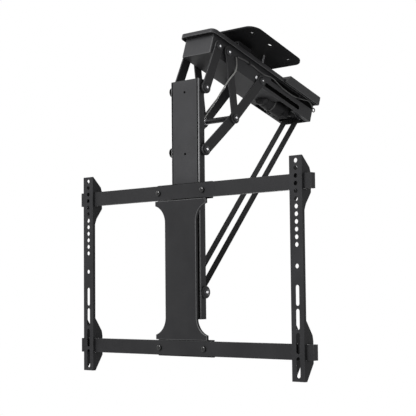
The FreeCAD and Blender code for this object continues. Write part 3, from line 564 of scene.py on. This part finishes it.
# %% Floor plate and flank bands
NEAR, FAR, NOTCH_AT, NOTCH_HALF, INNER_HALF = 0.0728, 0.1050, 0.0815, 0.0176, 0.0380
FLOOR_LOW, FLOOR_THICK = -0.0813, 0.0018
notched = [(-INNER_HALF, NEAR), (INNER_HALF, NEAR), (INNER_HALF, FAR), (NOTCH_HALF, FAR), (NOTCH_HALF, NOTCH_AT),
           (-NOTCH_HALF, NOTCH_AT), (-NOTCH_HALF, FAR), (-INNER_HALF, FAR)]
bm = slab([(x, y, FLOOR_LOW) for x, y in notched], (0, 0, FLOOR_THICK))
piece("floor_plate", bm, "beam", plastic, smooth=False, slot="black_plastic")

# Size and centre of the painted shadow band on the flank's outside and of the painted shade liner behind its slot, for
# the right side
BAND = ((0.00035, 0.155, 0.0105), (0.040175, 0.1375, -0.04675))
SHADE_LINER = ((0.0008, 0.151, 0.0194), (0.0317, 0.0965, -0.0697))
bm = bmesh.new()
for side in (1, -1):
    for size, (x, y, z) in (BAND, SHADE_LINER):
        made = bmesh.ops.create_cube(bm, size=1.0)["verts"]
        bmesh.ops.scale(bm, vec=size, verts=made)
        bmesh.ops.translate(bm, vec=(side * x, y, z), verts=made)
piece("painted_shade_flank_bands", bm, "beam", black_and_painted_shade, smooth=False, slot="black_plastic")
print("floor plate", len(notched), "corners, bands and liners on both flanks")

# %% [markdown]
# Two flat woven belts lift the column. Each runs straight from the drum to a loop round the anchor pin.
# In CAD a belt is a plain strip, so here it gets rounded long edges from a bevelled cross section.
# The loops ride on the column as a piece of their own, so they stay round.

# %% Lifting belts
DRUM = (0.189, -0.066)
TOP_OFF, LOW_OFF, BELT_WIDE, BELT_THICK, BELT_X = 0.01405, 0.00605, 0.0175, 0.0015, 0.017
BELT_EDGE, LOOP_EDGE, LOOP_FLANK, LOOP_STEPS = 0.0005, 0.0004, 0.0003, 28
# The straight part touches the drum and the loop, two circles on the same side of the belt
drum_at, anchor_at = Vector((0, *DRUM)), Vector((0, *G))
span = anchor_at - drum_at
lean = (TOP_OFF - LOW_OFF) / span.length
unit = span.normalized()
off = unit * lean + Vector((0, -unit.z, unit.y)) * math.sqrt(1 - lean ** 2)
belt_top, belt_low = drum_at + off * TOP_OFF, anchor_at + off * LOW_OFF
belt_run = (belt_low - belt_top).normalized()


def belt_piece(name, x):
    # A thin box along the belt, bevelled on its long edges
    bm = bmesh.new()
    length = (belt_low - belt_top).length
    bmesh.ops.create_cube(bm, size=1.0)
    bmesh.ops.scale(bm, vec=(BELT_WIDE, BELT_THICK, length), verts=bm.verts)
    long_edges = [e for e in bm.edges if abs((e.verts[0].co - e.verts[1].co).z) > length * 0.9]
    bmesh.ops.bevel(bm, geom=long_edges, offset=BELT_EDGE, offset_type="OFFSET", segments=2, profile=0.5,
                    affect="EDGES", material=-1)
    stand = Matrix((X_AXIS, belt_run.cross(X_AXIS), belt_run)).transposed().to_4x4()
    bmesh.ops.transform(bm, matrix=Matrix.Translation((belt_top + belt_low) / 2 + X_AXIS * x) @ stand, verts=bm.verts)
    return piece(name, bm, "belts", strap, smooth=False, slot="belt_webbing")


def belt_loop(bm, x):
    # The belt's end, a flat ring with cut edges, spun round the pin from where the belt arrives
    half, face = BELT_WIDE / 2, BELT_THICK / 2
    section = [(-half, -LOOP_FLANK), (-half, LOOP_FLANK), (-half + LOOP_EDGE, face), (half - LOOP_EDGE, face),
               (half, LOOP_FLANK), (half, -LOOP_FLANK), (half - LOOP_EDGE, -face), (-half + LOOP_EDGE, -face)]
    lathe(bm, anchor_at + X_AXIS * x, [(along, LOW_OFF + r) for along, r in section], LOOP_STEPS, radial=off, ring=True)


bm = bmesh.new()
for x in (BELT_X, -BELT_X):
    belt_loop(bm, x)
piece("belt_loops", bm, "column", strap, smooth=False, slot="belt_webbing")

for name, x in (("lifting_belt_right", BELT_X), ("lifting_belt_left", -BELT_X)):
    belt = belt_piece(name, x)
    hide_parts("belt_right" if x > 0 else "belt_left")
    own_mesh(belt)
    print(belt.name, round((belt_low - belt_top).length, 3), "m long")

# %% [markdown]
# The loose cable gets its sheath here.

# %% The loose cable's sheath
cable.data.materials.append(sheath)
cable_top, cable_low = Vector(CABLE_ROUTE[0]), Vector(CABLE_ROUTE[-1])
chord = cable_low - cable_top
chord.x = 0.0
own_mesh(cable)
print("cable shortens along", [round(v, 2) for v in chord.normalized()])

# %% [markdown]
# A plain pale floor lies far below, because this object hangs. It is stage, not part of the object.
# The world shows white to the camera and to mirrors, yet lights the object softly with a dimmer grey.

# %% Floor and world
FLOOR_SIZE, FLOOR_DROP, FLOOR_GLOW, WORLD_LIGHT = 30.0, -2.4, 0.8, 0.24
floor_mesh = bpy.data.meshes.new("pale_floor")
bm = bmesh.new()
bmesh.ops.create_grid(bm, x_segments=1, y_segments=1, size=FLOOR_SIZE)
bmesh.ops.translate(bm, vec=(0, 0, FLOOR_DROP), verts=bm.verts)
bm.to_mesh(floor_mesh)
bm.free()
floor = bpy.data.objects.new("pale_floor", floor_mesh)
scene.collection.objects.link(floor)
floor_finish = Finish("pale_floor_paint", roughness=0.9)
floor_mesh.materials.append(floor_finish.wear(floor_finish.shade(floor_finish.noise(3.0), (0.78, 0.78, 0.78),
                                                                 (0.84, 0.84, 0.84))))


def seen_directly(tree):
    # 1 for camera, mirror and glass rays, 0 for the rays that light the object
    ray = tree.nodes.new("ShaderNodeLightPath")
    seen = ray.outputs["Is Camera Ray"]
    for other in ("Is Glossy Ray", "Is Transmission Ray"):
        either = tree.nodes.new("ShaderNodeMath")
        either.operation = "MAXIMUM"
        tree.links.new(seen, either.inputs[0])
        tree.links.new(ray.outputs[other], either.inputs[1])
        seen = either.outputs[0]
    return seen


# Most of what the eye sees of the floor glows white, the rest is lit paint and takes the shadow
tree = floor_finish.tree
glow, mix = tree.nodes.new("ShaderNodeEmission"), tree.nodes.new("ShaderNodeMixShader")
share = tree.nodes.new("ShaderNodeMath")
share.operation = "MULTIPLY"
share.inputs[1].default_value = FLOOR_GLOW
tree.links.new(seen_directly(tree), share.inputs[0])
tree.links.new(share.outputs[0], mix.inputs[0])
tree.links.new(floor_finish.shader.outputs[0], mix.inputs[1])
tree.links.new(glow.outputs[0], mix.inputs[2])
tree.links.new(mix.outputs[0], tree.nodes["Material Output"].inputs[0])

world = bpy.data.worlds.new("studio")
scene.world = world
world.use_nodes = True
tree = world.node_tree
tree.nodes.clear()
output = tree.nodes.new("ShaderNodeOutputWorld")
soft, white = tree.nodes.new("ShaderNodeBackground"), tree.nodes.new("ShaderNodeBackground")
soft.inputs["Color"].default_value, soft.inputs["Strength"].default_value = (1, 1, 1, 1), WORLD_LIGHT
white.inputs["Color"].default_value, white.inputs["Strength"].default_value = (1, 1, 1, 1), 1.0
mix = tree.nodes.new("ShaderNodeMixShader")
tree.links.new(seen_directly(tree), mix.inputs[0])
tree.links.new(soft.outputs[0], mix.inputs[1])
tree.links.new(white.outputs[0], mix.inputs[2])
tree.links.new(mix.outputs[0], output.inputs[0])
print("floor and world ready")

# %% [markdown]
# The photograph has a broad soft light from the front, so faces towards the viewer are lighter than the flanks.
# Large area lamps give long, soft reflections on the satin coat.

# %% Lamps


def lamp(name, place, target, size, power):
    data = bpy.data.lights.new(name, "AREA")
    data.shape, data.size, data.energy = "SQUARE", size, power
    made = bpy.data.objects.new(name, data)
    made.location = place
    made.rotation_mode = "QUATERNION"
    made.rotation_quaternion = (Vector(target) - Vector(place)).to_track_quat("-Z", "Y")
    scene.collection.objects.link(made)
    return made


# Each lamp: its place, what it points at, its size in metres and its power in watts
lamp("front_softbox", (-0.5, -3.2, 0.5), (0, 0, -0.30), 2.0, 155)
lamp("right_softbox", (3.0, -0.6, -0.9), (0, 0, -0.3), 1.8, 21)
lamp("low_fill", (0.4, -1.6, -2.3), (0, 0.1, -0.3), 1.6, 8)
lamp("rear_softbox", (-0.9, 3.0, 0.4), (0, 0, -0.35), 2.0, 60)
lamp("left_softbox", (-3.0, 0.3, 0.2), (0, 0, -0.35), 1.8, 30)
scene.view_settings.view_transform = "Standard"
